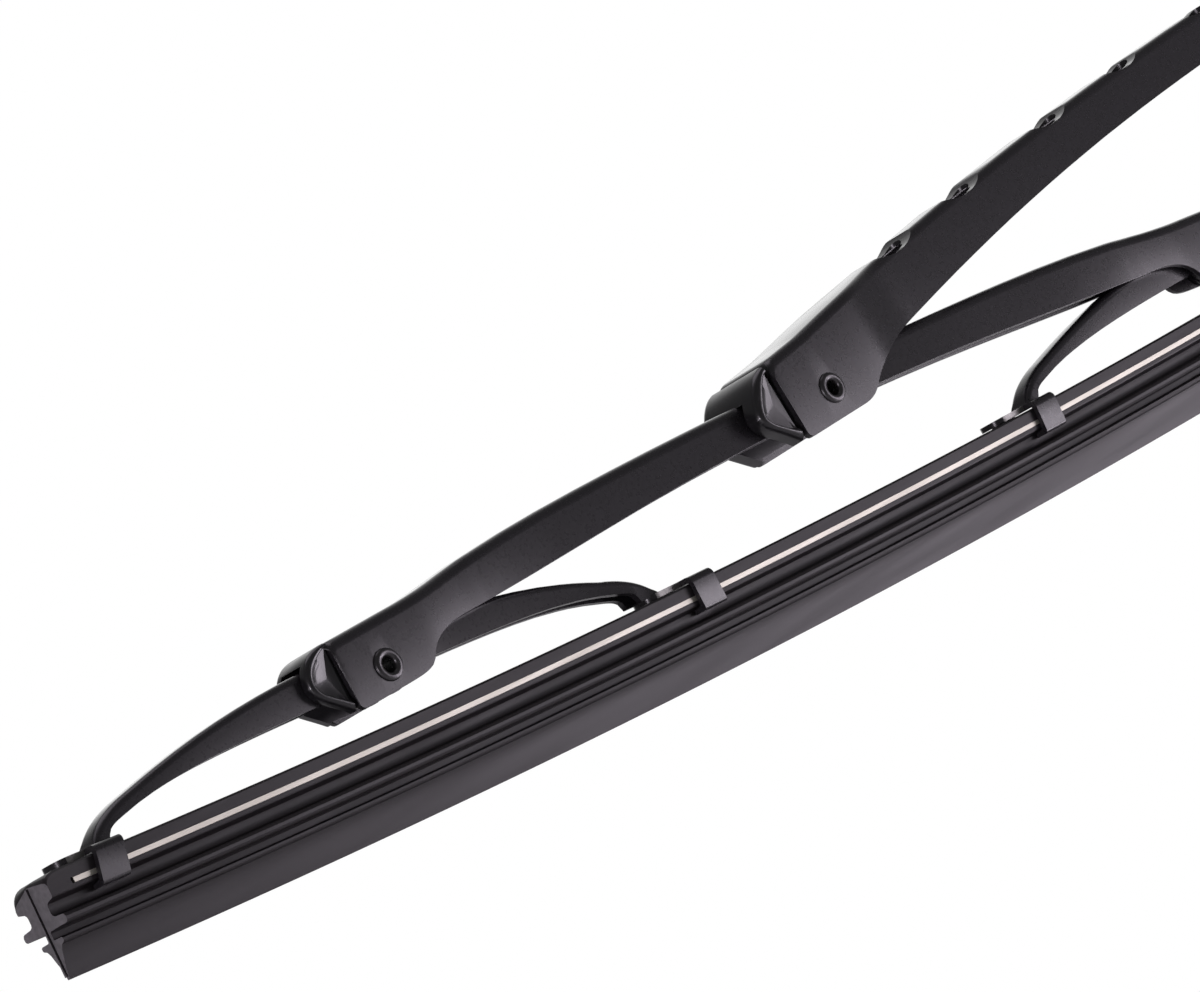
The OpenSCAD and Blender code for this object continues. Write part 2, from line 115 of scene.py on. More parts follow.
def arc_pt(s, h, h0=ARM_PIN_H):
    """The X and Z of the point at arc place s and height h over the wiping edge."""
    return Vector((
        (BOW_RADIUS - h) * math.sin(s * ARC),
        BOW_RADIUS - h0 - (BOW_RADIUS - h) * math.cos(s * ARC)))


def curve(a, b, c, d, n=8):
    """Points of a cubic curve without its last one."""
    a, b, c, d = (Vector(p) for p in (a, b, c, d))
    out = []
    for i in range(n):
        t = i / n
        u = 1 - t
        out.append(u ** 3 * a + 3 * u * u * t * b + 3 * u * t * t * c + t ** 3 * d)
    return out


def corner(c, r, a0, a1, n=5):
    """Points of a rounded corner about c, from angle a0 to a1 in degrees."""
    out = []
    for i in range(n + 1):
        a = math.radians(a0 + (a1 - a0) * i / n)
        out.append(Vector(c) + r * Vector((math.cos(a), math.sin(a))))
    return out


def smooth_step(x, a, b):
    t = max(0.0, min(1.0, (x - a) / (b - a)))
    return t * t * (3 - 2 * t)


def sampled(points, x):
    """Height at x along an outline whose points run outwards in X."""
    xs = [p[0] for p in points]
    zs = [p[1] for p in points]
    return float(np.interp(x, xs, zs))


def pivot_frame(s, h):
    """Places a part drawn about a pivot, in millimetres, at its place on the bow, in metres."""
    p = arc_pt(s, h)
    return (Matrix.Scale(MM, 4) @ Matrix.Translation((p[0], 0, p[1]))
            @ Matrix.Rotation(-s * ARC, 4, "Y"))


def plain_frame(x, z):
    return Matrix.Scale(MM, 4) @ Matrix.Translation((x, 0, z))


def new_object(name, bm, matrix=None):
    """Makes an object from a bmesh and shifts its vertices by the matrix."""
    if matrix is not None:
        bm.transform(matrix)
        if matrix.determinant() < 0:
            bmesh.ops.reverse_faces(bm, faces=bm.faces)
    mesh = bpy.data.meshes.new(name)
    bm.to_mesh(mesh)
    bm.free()
    obj = bpy.data.objects.new(name, mesh)
    bpy.context.scene.collection.objects.link(obj)
    return obj


def smooth(obj, angle=32):
    obj.data.polygons.foreach_set("use_smooth", [True] * len(obj.data.polygons))
    obj.data.set_sharp_from_angle(angle=math.radians(angle))
    return obj


def apply_modifiers(obj):
    """Puts the evaluated mesh in place of the object's own."""
    depsgraph = bpy.context.evaluated_depsgraph_get()
    mesh = bpy.data.meshes.new_from_object(obj.evaluated_get(depsgraph))
    obj.modifiers.clear()
    obj.data = mesh
    return obj


def cut(obj, cutters):
    """Subtracts the cutter objects and removes them."""
    for cutter in cutters:
        mod = obj.modifiers.new("cut", "BOOLEAN")
        mod.operation = "DIFFERENCE"
        mod.solver = "EXACT"
        mod.object = cutter
    apply_modifiers(obj)
    for cutter in cutters:
        bpy.data.objects.remove(cutter)
    return obj


def add_bevel(obj, width, segments=2, angle=35):
    mod = obj.modifiers.new("bevel", "BEVEL")
    mod.width = width * MM
    mod.segments = segments
    mod.limit_method = "ANGLE"
    mod.angle_limit = math.radians(angle)
    mod.use_clamp_overlap = True
    mod.miter_outer = "MITER_ARC"
    return obj


def loft(rings, closed=True, caps=True):
    """A bmesh skin through rings of points, each ring closed."""
    bm = bmesh.new()
    rows = [[bm.verts.new(p) for p in ring] for ring in rings]
    n = len(rows[0])
    for a, b in zip(rows, rows[1:]):
        for i in range(n if closed else n - 1):
            j = (i + 1) % n
            bm.faces.new((a[i], a[j], b[j], b[i]))
    if caps:
        bm.faces.new(rows[0][::-1])
        bm.faces.new(rows[-1])
    bmesh.ops.recalc_face_normals(bm, faces=bm.faces)
    return bm


def bar_ring(x, top, bottom, half_w, fold, draft=0.0, segments=6):
    """Section of a bar with two rounded top edges; draft narrows its back."""
    top = max(top, bottom + 0.3)
    back = half_w - draft
    r = min(fold, back - 0.05, (top - bottom) * 0.7)
    ring = [(x, -half_w, bottom)]
    for i in range(segments + 1):
        a = math.pi - HALF_PI * i / segments
        ring.append((x, -back + r + r * math.cos(a), top - r + r * math.sin(a)))
    for i in range(segments + 1):
        a = HALF_PI - HALF_PI * i / segments
        ring.append((x, back - r + r * math.cos(a), top - r + r * math.sin(a)))
    ring.append((x, half_w, bottom))
    return ring


def channel(name, xs, top, bottom, half_w, sheet, fold, draft=None, inner_end=None):
    """A folded sheet channel: a rounded bar less the bar inside it."""
    draft = draft or (lambda x: 0.0)
    outer = loft([bar_ring(x, top(x), bottom(x), half_w(x), fold, draft(x)) for x in xs])
    inner_xs = list(xs)
    if inner_end is not None:
        inner_xs = [-inner_end] + [x for x in xs if abs(x) < inner_end] + [inner_end]
    else:
        inner_xs[0] -= 1
        inner_xs[-1] += 1
    ends = (xs[0], xs[-1])
    rings = []
    for x in inner_xs:
        at = max(ends[0], min(ends[1], x))
        rings.append(bar_ring(
            x, top(at) - sheet, bottom(at) - 4, half_w(at) - sheet, max(0.3, fold - sheet), draft(at)))
    body = new_object(name, outer)
    return cut(body, [new_object(name + "_inside", loft(rings))])


def cylinder_y(d, w, x=0.0, z=0.0, segments=48):
    bm = bmesh.new()
    bmesh.ops.create_cone(
        bm, cap_ends=True, segments=segments, radius1=d / 2, radius2=d / 2, depth=w,
        matrix=Matrix.Translation((x, 0, z)) @ Matrix.Rotation(HALF_PI, 4, "X"))
    return new_object("cutter", bm)


def box_object(lo, hi):
    bm = bmesh.new()
    size = [h - l for l, h in zip(lo, hi)]
    mid = [(h + l) / 2 for l, h in zip(lo, hi)]
    bmesh.ops.create_cube(
        bm, size=1, matrix=Matrix.Translation(mid) @ Matrix.Diagonal((*size, 1)))
    return new_object("cutter", bm)


def revolve_y(name, profile, segments=48):
    """A closed profile of radius and Y, turned about Y."""
    rings = []
    for i in range(segments):
        a = 2 * math.pi * i / segments
        rings.append([(r * math.cos(a), y, r * math.sin(a)) for r, y in profile])
    bm = loft(rings + [rings[0]], caps=False)
    bmesh.ops.remove_doubles(bm, verts=bm.verts, dist=1e-5)
    bmesh.ops.recalc_face_normals(bm, faces=bm.faces)
    return new_object(name, bm)


def place(obj, matrix):
    obj.data.transform(matrix)
    if matrix.determinant() < 0:
        obj.data.flip_normals()
    return obj


# Materials

def material(name, color, roughness, metallic=0.0, specular=0.5, coat=0.0, coat_rough=0.1):
    """A shader with its plain values set; the caller adds the surface detail."""
    mat = bpy.data.materials.new(name)
    mat.use_nodes = True
    shader = mat.node_tree.nodes["Principled BSDF"]
    shader.inputs["Base Color"].default_value = (*color, 1)
    shader.inputs["Roughness"].default_value = roughness
    shader.inputs["Metallic"].default_value = metallic
    shader.inputs["Specular IOR Level"].default_value = specular
    shader.inputs["Coat Weight"].default_value = coat
    shader.inputs["Coat Roughness"].default_value = coat_rough
    return mat, mat.node_tree, shader


def noise(tree, scale, detail=4.0, stretch=(1, 1, 1)):
    """Noise over the object's own coordinates, scale per metre."""
    coords = tree.nodes.new("ShaderNodeTexCoord")
    mapping = tree.nodes.new("ShaderNodeMapping")
    mapping.inputs["Scale"].default_value = stretch
    tex = tree.nodes.new("ShaderNodeTexNoise")
    tex.inputs["Scale"].default_value = scale
    tex.inputs["Detail"].default_value = detail
    tree.links.new(coords.outputs["Object"], mapping.inputs["Vector"])
    tree.links.new(mapping.outputs["Vector"], tex.inputs["Vector"])
    return tex.outputs["Fac"]


def vary(tree, fac, low, high, socket):
    """Feeds a socket with a number between low and high by the noise."""
    ramp = tree.nodes.new("ShaderNodeMapRange")
    ramp.inputs["From Min"].default_value = 0.3
    ramp.inputs["From Max"].default_value = 0.7
    ramp.inputs["To Min"].default_value = low
    ramp.inputs["To Max"].default_value = high
    tree.links.new(fac, ramp.inputs["Value"])
    tree.links.new(ramp.outputs["Result"], socket)


def vary_color(tree, fac, low, high, socket):
    mix = tree.nodes.new("ShaderNodeMix")
    mix.data_type = "RGBA"
    mix.inputs["A"].default_value = (*low, 1)
    mix.inputs["B"].default_value = (*high, 1)
    tree.links.new(fac, mix.inputs["Factor"])
    tree.links.new(mix.outputs["Result"], socket)


def bump(tree, shader, fac, strength, distance):
    node = tree.nodes.new("ShaderNodeBump")
    node.inputs["Strength"].default_value = strength
    node.inputs["Distance"].default_value = distance
    tree.links.new(fac, node.inputs["Height"])
    tree.links.new(node.outputs["Normal"], shader.inputs["Normal"])


def painted_steel():
    """Black satin powder coat with a fine orange peel, glossier at a glancing angle."""
    mat, tree, shader = material("painted_steel", (0.018, 0.0165, 0.019), 0.28, specular=0.5)
    vary(tree, noise(tree, 1500, 3), 0.265, 0.3, shader.inputs["Roughness"])
    vary_color(tree, noise(tree, 700, 5), (0.0165, 0.0152, 0.0172), (0.02, 0.0186, 0.0212),
               shader.inputs["Base Color"])
    bump(tree, shader, noise(tree, 2600, 2), 0.06, 0.00002)
    glancing = tree.nodes.new("ShaderNodeLayerWeight")
    glancing.inputs["Blend"].default_value = 0.5
    ramp = tree.nodes.new("ShaderNodeMapRange")
    ramp.inputs["From Min"].default_value = 0.72
    ramp.inputs["From Max"].default_value = 0.9
    tree.links.new(glancing.outputs["Facing"], ramp.inputs["Value"])
    tree.links.new(ramp.outputs["Result"], shader.inputs["Coat Weight"])
    return mat


def bare_edge():
    """Sheared edge of a foot, where the paint is thin."""
    mat, tree, shader = material("bare_edge", (0.25, 0.25, 0.24), 0.4, metallic=0.8)
    vary_color(tree, noise(tree, 1500, 4, (1, 1, 0.2)), (0.16, 0.16, 0.155), (0.34, 0.335, 0.32),
               shader.inputs["Base Color"])
    return mat


def moulded_plastic():
    """Black acetal with a soft mould finish and a thin gloss over it."""
    mat, tree, shader = material(
        "moulded_plastic", (0.012, 0.0115, 0.013), 0.3, specular=0.5, coat=0.3, coat_rough=0.09)
    vary(tree, noise(tree, 500, 3), 0.28, 0.36, shader.inputs["Roughness"])
    bump(tree, shader, noise(tree, 1200, 2), 0.12, 0.00004)
    return mat


def dark_zinc():
    mat, tree, shader = material("dark_zinc", (0.07, 0.068, 0.07), 0.33, metallic=0.8)
    vary(tree, noise(tree, 1800, 4), 0.25, 0.42, shader.inputs["Roughness"])
    bump(tree, shader, noise(tree, 3000, 3), 0.2, 0.00003)
    return mat


def bright_bore():
    """Unpainted inside of a rivet."""
    mat, tree, shader = material("bright_bore", (0.2, 0.2, 0.2), 0.25, metallic=0.9)
    vary(tree, noise(tree, 1500, 3), 0.2, 0.35, shader.inputs["Roughness"])
    return mat


def rubber():
    """Extruded rubber, drawn along its length."""
    mat, tree, shader = material("rubber", (0.016, 0.0135, 0.015), 0.46, specular=0.33)
    vary(tree, noise(tree, 500, 4, (0.04, 1, 1)), 0.42, 0.5, shader.inputs["Roughness"])
    vary_color(tree, noise(tree, 350, 5, (0.06, 1, 1)), (0.013, 0.011, 0.0122), (0.019, 0.016, 0.018),
               shader.inputs["Base Color"])
    bump(tree, shader, noise(tree, 1400, 4, (0.05, 1, 1)), 0.3, 0.00005)
    return mat


def cut_rubber():
    """Guillotined end of the rubber, paler and matte."""
    mat, tree, shader = material("cut_rubber", (0.12, 0.115, 0.12), 0.5, specular=0.5)
    vary_color(tree, noise(tree, 1300, 5), (0.1, 0.095, 0.1), (0.24, 0.23, 0.24),
               shader.inputs["Base Color"])
    bump(tree, shader, noise(tree, 2600, 4), 0.5, 0.00008)
    return mat


def spring_steel():
    mat, tree, shader = material("spring_steel", (0.6, 0.58, 0.51), 0.5, metallic=0.85)
    vary(tree, noise(tree, 900, 4, (0.05, 1, 1)), 0.46, 0.56, shader.inputs["Roughness"])
    bump(tree, shader, noise(tree, 2200, 3, (0.04, 1, 1)), 0.2, 0.00003)
    return mat


PAINT = painted_steel()
EDGE = bare_edge()
PLASTIC = moulded_plastic()
ZINC = dark_zinc()
BORE = bright_bore()
RUBBER = rubber()
CUT_RUBBER = cut_rubber()
SPRING = spring_steel()


def dress(obj, mat, slot, body, *nodes):
    """Gives a piece its material and body, and hides the nodes that it replaces; its slot is not used."""
    if not obj.data.materials:
        obj.data.materials.append(mat)
    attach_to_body(obj, body)
    if nodes:
        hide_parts(*nodes)
    return obj


# Yokes

HUB_AT = arc_pt(PIVOT_PITCH, CLAW_PIVOT_H, BRIDGE_PIVOT_H)
HUB_TURN = PIVOT_PITCH * ARC
HUB_REACH = 7.45
YOKE_TOP = 3.95
YOKE_FOLD = 1.7


def at_hub(x, z):
    """A point given about a yoke's hub, seen from the yoke's own pivot."""
    c, s = math.cos(HUB_TURN), math.sin(HUB_TURN)
    return Vector((x * c - z * s + HUB_AT[0], x * s + z * c + HUB_AT[1]))


def yoke_outlines():
    turn = math.degrees(HUB_TURN)
    top = (curve((0, YOKE_TOP), (40, YOKE_TOP), (64, 3.2), at_hub(-16, 8.45), 10)
           + curve(at_hub(-16, 8.45), at_hub(-12, 7.7), at_hub(-8, 7.2), at_hub(-4, 6.95), 5)
           + [at_hub(-4, 6.95)]
           + corner(at_hub(HUB_REACH - 1, 5.1), 1, 90 + turn, 12 + turn))
    bottom = (curve((0, -2), (34, -2), at_hub(-38, 3.6), at_hub(-17.5, 2.2), 10)
              + curve(at_hub(-17.5, 2.2), at_hub(-11.5, 2), at_hub(-8.9, 0.2), at_hub(-7.9, -1.7), 8)
              + curve(at_hub(-7.9, -1.7), at_hub(-7.2, -2.8), at_hub(-5.2, -3.05), at_hub(-2.4, -3.3), 6)
              + [at_hub(-2.4, -3.3)]
              + corner(at_hub(HUB_REACH - 1.1, -3.05), 1, -90 + turn, -12 + turn))
    return top, bottom


def mirrored_stations(xs):
    return [-x for x in reversed(xs) if x > 0] + list(xs)


def yoke(side):
    name = "left" if side < 0 else "right"
    top, bottom = yoke_outlines()
    end = max(top[-1][0], bottom[-1][0])
    hub_x = HUB_AT[0]
    xs = ([i * 8.0 for i in range(9)] + [hub_x - 22 + i * 0.75 for i in range(24)]
          + [hub_x - 3.5 + i * 1.2 for i in range(8)]
          + [end - 1.0, end - 0.75, end - 0.5, end - 0.3, end - 0.15, end])
    xs = mirrored_stations([x for x in xs if x <= end])

    def half_w(x):
        return YOKE_W / 2 + (YOKE_HUB_W - YOKE_W) / 2 * smooth_step(abs(x), hub_x - 19, hub_x - 9)

    obj = channel(
        f"yoke_{name}_steel", xs, lambda x: sampled(top, abs(x)), lambda x: sampled(bottom, abs(x)),
        half_w, YOKE_SHEET, YOKE_FOLD,
        draft=lambda x: YOKE_DRAFT * (1 - smooth_step(abs(x), hub_x - 36, hub_x - 22)))
    cutters = [cylinder_y(RIVET_D + BORE_PLAY, 20)]
    for hub in (-1, 1):
        cutters.append(cylinder_y(RIVET_D + BORE_PLAY, 20, hub * hub_x, HUB_AT[1]))
    cut(obj, cutters)
    place(obj, pivot_frame(side * BRIDGE_END_S, BRIDGE_PIVOT_H))
    add_bevel(obj, SHEET_EDGE)
    smooth(obj)
    return dress(obj, PAINT, "black_steel", f"yoke_{name}", f"yoke_{name}")


# Bridge

BRIDGE_END = arc_pt(BRIDGE_END_S, BRIDGE_PIVOT_H)
BRIDGE_REACH = 8.8
BRIDGE_TOP = 56.2 - ARM_PIN_H
BRIDGE_BOTTOM = 48.2 - ARM_PIN_H
BRIDGE_FOLD = 1.6
HUB_SHIFT = 1.0
BRIDGE_HUB_X = BRIDGE_END[0] - HUB_SHIFT
BACK_FALL = 2700
ROLLER_D = 19
ROLLER_LIFT = 9.1
WINDOW_HALF_LEN = 15


def at_end(x, z):
    return Vector((x + BRIDGE_HUB_X, z + BRIDGE_END[1]))


def bridge_outlines():
    top = (curve((0, BRIDGE_TOP), (70, BRIDGE_TOP), at_end(-56, 17.7), at_end(0, 8.9), 24)
           + [at_end(0, 8.9)]
           + corner(at_end(BRIDGE_REACH - 2, 6.25), 2, 82, 8, 7))
    bottom = ([Vector((0, -5.4))]
              + curve((5, -5.4), (14, -5.4), (18, BRIDGE_BOTTOM), (28, BRIDGE_BOTTOM), 8)
              + curve((28, BRIDGE_BOTTOM), (90, BRIDGE_BOTTOM), at_end(-60, 9.2), at_end(-21, 1.9), 14)
              + curve(at_end(-21, 1.9), at_end(-14.5, 0.7), at_end(-11.5, -1), at_end(-9.3, -2.4), 8)
              + curve(at_end(-9.3, -2.4), at_end(-8, -3.5), at_end(-7, -4.3), at_end(-4.6, -4.4), 6)
              + [at_end(-4.6, -4.4)]
              + corner(at_end(BRIDGE_REACH - 1, -3.4), 1, -90, -12))
    return top, bottom


def back_z(x):
    """Height of the bridge's back at x, near enough for the slots."""
    return BRIDGE_TOP - x * x / BACK_FALL


def wind_slot_cutters(x):
    """A rounded window in the back, and a shallow roller that dips both walls."""
    r = WIND_SLOT_W / 2
    half = WIND_SLOT_LEN / 2 - r
    z = back_z(x)
    ring = []
    for i in range(33):
        a = -HALF_PI + math.pi * i / 32
        ring.append((x + half + r * math.cos(a), r * math.sin(a)))
    for i in range(33):
        a = HALF_PI + math.pi * i / 32
        ring.append((x - half + r * math.cos(a), r * math.sin(a)))
    window = new_object("cutter", loft([[(p[0], p[1], z + h) for p in ring] for h in (-6, 6)]))
    turn = math.atan(2 * x / BACK_FALL)
    roller = cylinder_y(
        ROLLER_D, 20, x + ROLLER_LIFT * math.sin(turn), z + ROLLER_LIFT * math.cos(turn), 96)
    return [window, roller]


def bridge():
    top, bottom = bridge_outlines()
    end = max(top[-1][0], bottom[-1][0])
    hub_x = BRIDGE_HUB_X
    xs = ([0, 3, 5, 7, 9, 11, 13, 15, 17, 19, 21, 24, 28] + [34 + i * 5.5 for i in range(24)]
          + [hub_x - 24 + i * 0.85 for i in range(24)] + [hub_x - 3.6 + i * 1.3 for i in range(8)]
          + [end - 2, end - 1.5, end - 1.0, end - 0.7, end - 0.4, end - 0.2, end])
    xs = sorted(set(round(x, 4) for x in xs if x <= end))
    xs = mirrored_stations(xs)

    def half_w(x):
        return (BRIDGE_W / 2
                + (BRIDGE_HUB_W - BRIDGE_W) / 2 * smooth_step(abs(x), hub_x - 24, hub_x - 11)
                + (BRIDGE_MID_W - BRIDGE_W) / 2 * (1 - smooth_step(abs(x), 24, 44)))

    obj = channel(
        "bridge_steel", xs, lambda x: sampled(top, abs(x)), lambda x: sampled(bottom, abs(x)),
        half_w, BRIDGE_SHEET, BRIDGE_FOLD,
        draft=lambda x: BRIDGE_DRAFT * (1 - smooth_step(abs(x), hub_x - 30, hub_x - 12)))
    cutters = [cylinder_y(ARM_PIN_D + BORE_PLAY, 30)]
    for side in (-1, 1):
        cutters.append(cylinder_y(RIVET_D + BORE_PLAY, 30, side * hub_x, BRIDGE_END[1]))
        for x in WIND_SLOT_X:
            cutters += wind_slot_cutters(side * x)
    half = (BRIDGE_MID_W - 2 * BRIDGE_SHEET - 1.4) / 2
    ring = []
    for i in range(17):
        a = -HALF_PI + math.pi * i / 16
        ring.append((WINDOW_HALF_LEN + half * math.cos(a), half * math.sin(a)))
    for i in range(17):
        a = HALF_PI + math.pi * i / 16
        ring.append((-WINDOW_HALF_LEN + half * math.cos(a), half * math.sin(a)))
    cutters.append(new_object("cutter", loft([[(p[0], p[1], z) for p in ring] for z in (0, 20)])))
    cut(obj, cutters)
    place(obj, Matrix.Scale(MM, 4))
    add_bevel(obj, SHEET_EDGE)
    smooth(obj)
    return dress(obj, PAINT, "black_steel", "root", "main_bridge")


# Claw yokes

CLAW_TOP = 4.1
CLAW_ARCH_BOTTOM = -1.2
CLAW_SKIN_H = RUBBER_H + CLAW_PLAY
CLAW_END = arc_pt(CLAW_REACH, CLAW_SKIN_H, CLAW_PIVOT_H)
CLAW_FOLD = 1.1
HEAD_FLOOR_H = 9.5
CHEEK_D = 6.8


def arch_outlines(tip, heel):
    """Outlines of one arm; tip and heel are its base's ends from the claw's middle."""
    x, z = CLAW_END
    top = (curve((0, CLAW_TOP), (22, CLAW_TOP), (x - 22, z + 8.2), (x - 8.6 + tip, z + 5.3), 12)
           + curve((x - 8.6 + tip, z + 5.3), (x - 4.2 + tip, z + 4.4), (x - 0.8 + tip, z + 2.6),
                   (x + tip, z + 0.4), 12)
           + [Vector((x + tip, z + 0.4))])
    bottom = (curve((0, CLAW_ARCH_BOTTOM), (20, CLAW_ARCH_BOTTOM), (x + heel - 14, z + 5.4),
                    (x + heel - 3.6, z + 2.7), 12)
              + curve((x + heel - 3.6, z + 2.7), (x + heel - 1.4, z + 2.2), (x + heel, z + 1.9),
                      (x + heel, z + 0.4), 8)
              + [Vector((x + heel, z + 0.4)), Vector((x + tip, z + 0.4))])
    return top, bottom


def claw_section():
    """Outline in Y and height of the claw's sheet, its tips turned in under the rubber head."""
    inner = HEAD_W / 2 + CLAW_PLAY
    outer = inner + CLAW_SHEET
    top = CLAW_SKIN_H + CLAW_SHEET
    tip_h = HEAD_FLOOR_H - CLAW_PLAY - 0.7
    tip_in = HEAD_W * 0.29 + 0.35
    half = (corner((outer - 1.1, top - 1.1), 1.1, 90, 0, 6)
            + corner((outer - 0.5, tip_h + 0.5), 0.5, 0, -90, 4)
            + [Vector((tip_in, tip_h)), Vector((tip_in, HEAD_FLOOR_H - CLAW_PLAY - 0.1)),
               Vector((inner, HEAD_FLOOR_H + 0.1))]
            + corner((inner - 0.4, CLAW_SKIN_H - 0.4), 0.4, 0, 90, 4))
    return half + [Vector((-p[0], p[1])) for p in reversed(half)]


def claw_foot(reach):
    """Plan outline of the foot, a tongue with a rounded toe."""
    r = 2
    x, y = -reach + r, FOOT_W / 2 - r
    return (corner((x, y), r, 90, 180) + corner((x, -y), r, 180, 270)
            + [Vector((0, -FOOT_W / 2)), Vector((0, FOOT_W / 2))])


# Each claw's ends along the blade and the lean of its edges, its foot's reach, and its arm's tip and heel
CLAW_FORMS = {
    ("outer", -1): (-1.0, 3.6, 0.25, 5.4, -1.1, -3.9),
    ("outer", 1): (-1.2, 3.2, 0, 7.4, -4.6, -8.6),
    ("inner", -1): (-0.3, 4.3, 0.12, 6.6, -1.4, -4.3),
    ("inner", 1): (-1.2, 3.2, 0, 7.4, -4.6, -8.6)}


def claw(name, s, x0, x1, lean, reach):
    """One claw with its foot, placed in its claw yoke's frame."""
    section = claw_section()
    rings = []
    for x in (x0, x1):
        rings.append([(x - lean * (CLAW_SKIN_H + CLAW_SHEET - p[1]), p[0], p[1]) for p in section])
    band = new_object(name, loft(rings))
    foot = new_object(name + "_foot", loft([
        [(p[0], p[1], h) for p in claw_foot(reach)] for h in (CLAW_SKIN_H, CLAW_SKIN_H + CLAW_SHEET)]))
    p = arc_pt(s, 0, CLAW_PIVOT_H)
    turn = Matrix.Translation((p[0], 0, p[1])) @ Matrix.Rotation(-s * ARC, 4, "Y")
    for obj in (band, foot):
        obj.data.materials.append(PAINT)
        obj.data.materials.append(EDGE)
        for poly in obj.data.polygons:
            if obj is foot and abs(poly.normal[1]) > 0.95:
                poly.material_index = 1
        place(obj, turn)
    return [band, foot]


def joined(name, objs):
    """One object from several that may pass into each other; it keeps the first one's materials."""
    bm = bmesh.new()
    mats = list(objs[0].data.materials)
    for obj in objs:
        bm.from_mesh(obj.data)
        bpy.data.objects.remove(obj)
    out = new_object(name, bm)
    for mat in mats:
        out.data.materials.append(mat)
    return out


def claw_yoke(side, s, where):
    name = f"claw_yoke_{where}_{'left' if side < 0 else 'right'}"
    forms = {end: CLAW_FORMS[where, end] for end in (-1, 1)}
    outlines = {end: arch_outlines(*forms[end][4:]) for end in (-1, 1)}
    stations = []
    for end in (-1, 1):
        last = CLAW_END[0] + forms[end][4]
        xs = [i * 4.0 for i in range(11)] + [last - 13 + i * 0.5 for i in range(26)] + [last - 0.2, last]
        stations += [end * x for x in xs if x <= last]
    stations = sorted(set(round(x, 4) for x in stations))

    def line(which):
        return lambda x: sampled(outlines[-1 if x < 0 else 1][which], abs(x))

    arch = channel(
        name + "_arch", stations, line(0), line(1), lambda x: CLAW_YOKE_W / 2, CLAW_SHEET, CLAW_FOLD,
        draft=lambda x: CLAW_DRAFT[x >= 0] * smooth_step(abs(x), 4, 12), inner_end=50)
    cheeks = []
    for y in (-1, 1):
        cheek = cylinder_y(CHEEK_D, CLAW_SHEET)
        place(cheek, Matrix.Translation((0, y * (CLAW_YOKE_W - CLAW_SHEET) / 2, 0)))
        cheeks.append(cheek)
    for cheek in cheeks:
        mod = arch.modifiers.new("join", "BOOLEAN")
        mod.operation = "UNION"
        mod.solver = "EXACT"
        mod.object = cheek
    apply_modifiers(arch)
    for cheek in cheeks:
        bpy.data.objects.remove(cheek)
    cut(arch, [cylinder_y(RIVET_D + 2 * BORE_PLAY, 20)])
    arch.data.materials.clear()
    arch.data.materials.append(PAINT)
    arch.data.materials.append(EDGE)
    parts = [arch]
    for end_side in (-1, 1):
        parts += claw(f"{name}_claw", end_side * CLAW_REACH, *forms[end_side][:4])
    obj = joined(name + "_steel", parts)
    frame_at = pivot_frame(side * s, CLAW_PIVOT_H)
    if side > 0:
        frame_at = frame_at @ Matrix.Diagonal((-1, 1, 1, 1))
    place(obj, frame_at)
    add_bevel(obj, CLAW_EDGE)
    smooth(obj)
    return dress(obj, PAINT, "black_steel", name, name)


# Bushings, rivets and the arm's mount

MOULD_VOXEL = 0.25
MOULD_PASSES = 6
SUNK_DEPTH = 0.65
CHEEK_R = 3.6


def rounded(node):
    """The node's own solid with its edges rounded off, as moulded."""
    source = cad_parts[node]
    obj = bpy.data.objects.new(node + "_moulded", source.data.copy())
    bpy.context.scene.collection.objects.link(obj)
    weld = obj.modifiers.new("weld", "WELD")
    weld.merge_threshold = 0.00001
    remesh = obj.modifiers.new("remesh", "REMESH")
    remesh.mode = "VOXEL"
    remesh.voxel_size = MOULD_VOXEL * MM
    relax = obj.modifiers.new("relax", "SMOOTH")
    relax.factor = 0.5
    relax.iterations = MOULD_PASSES
    apply_modifiers(obj)
    obj.data.materials.clear()
    smooth(obj, 60)
    return obj


YOKE_NOSE = dict(
    outer=[(8.1, -3.75), (9.6, -2.6), (11.3, -1.6), (12.4, -0.7), (13.2, 0), (13.5, 0.8), (13.45, 1.6),
           (13.4, 3.4), (12.1, 4.9), (10.6, 5.5), (9.8, 5.8), (9, 5.95), (8.1, 6)],
    sunk=[(8.1, -2.3), (9.2, -1.5), (10.6, -0.8), (11.4, -0.2), (12, 0.3), (12.4, 0.9), (12.3, 1.7),
          (12.2, 2.6), (11.2, 3.6), (10.2, 4.3), (9.5, 4.8), (8.8, 5.2), (8.1, 5.4)],
    round=0.75, dish=0.35)
BRIDGE_NOSE = dict(
    outer=[(9.7, -4.1), (10.8, -3.2), (12, -2.2), (13.3, -1.2), (14.4, -0.4), (15.3, 0.5), (15.3, 1.7),
           (15.2, 3.2), (13.9, 5), (12.9, 6), (12, 6.9), (10.8, 7.6), (9.7, 7.8)],
    sunk=[(9.7, -2.2), (10.5, -2), (11.5, -1.3), (12.3, -0.7), (13.1, -0.1), (13.9, 0.6), (13.8, 1.5),
          (13.6, 2.4), (12.4, 3.8), (11.6, 4.9), (11, 5.7), (10.3, 6.5), (9.7, 6.6)],
    round=1.1, dish=0.1)


def through(controls, n=9):
    """Points of cubic curves chained through every third control point."""
    out = []
    for i in range(0, len(controls) - 1, 3):
        out += curve(*controls[i:i + 4], n)
    return out + [Vector(controls[-1])]


